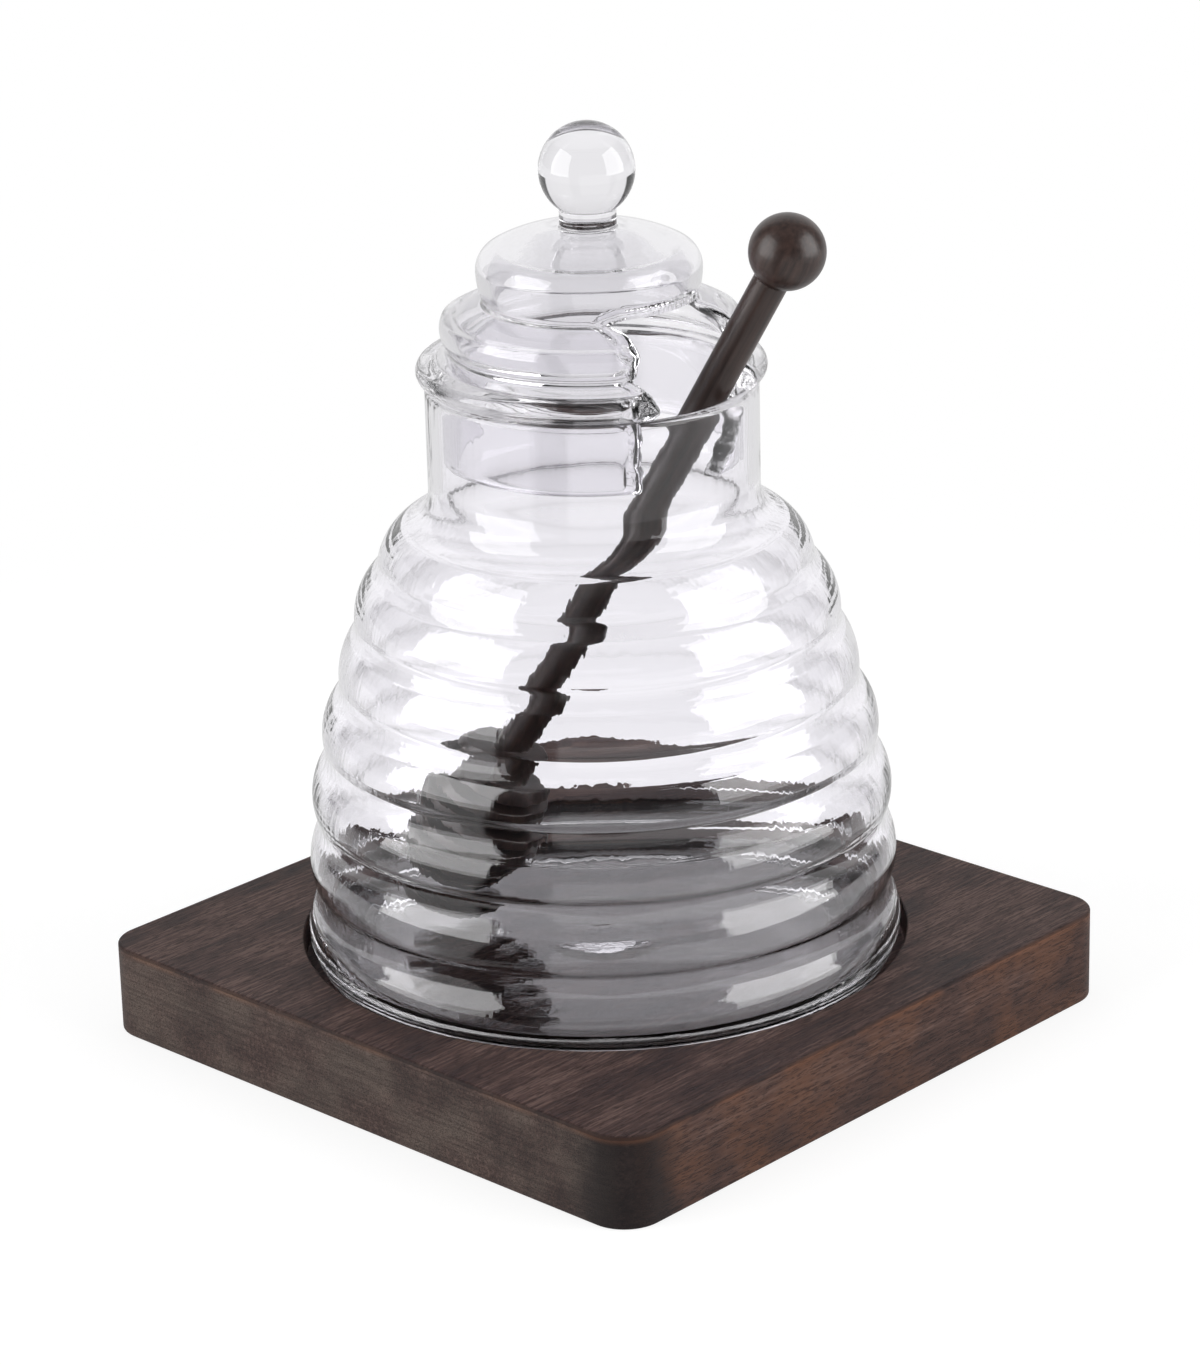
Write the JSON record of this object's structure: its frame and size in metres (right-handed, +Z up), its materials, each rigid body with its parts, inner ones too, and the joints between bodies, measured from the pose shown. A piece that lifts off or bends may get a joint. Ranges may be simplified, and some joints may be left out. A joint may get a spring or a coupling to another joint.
{
  "type": "honey pot",
  "caption": "Ribbed clear glass honey pot with a tiered glass lid, a dark wooden dipper through the lid's notch and a square dark wooden board.",
  "frame": {"origin": "middle of the board's underside", "axes": "+Z up; the board's edges lie along X and Y; the lid's notch and the dipper's ball point towards +X"},
  "size_m": [0.125, 0.125, 0.1603],
  "materials": {
    "clear_glass": "gloss",
    "board_wood": "satin",
    "dipper_wood": "satin"
  },
  "bodies": {
    "root": {"board": "board_wood", "jar": "clear_glass", "lid": "clear_glass", "dipper": "dipper_wood"}
  },
  "joints": []
}
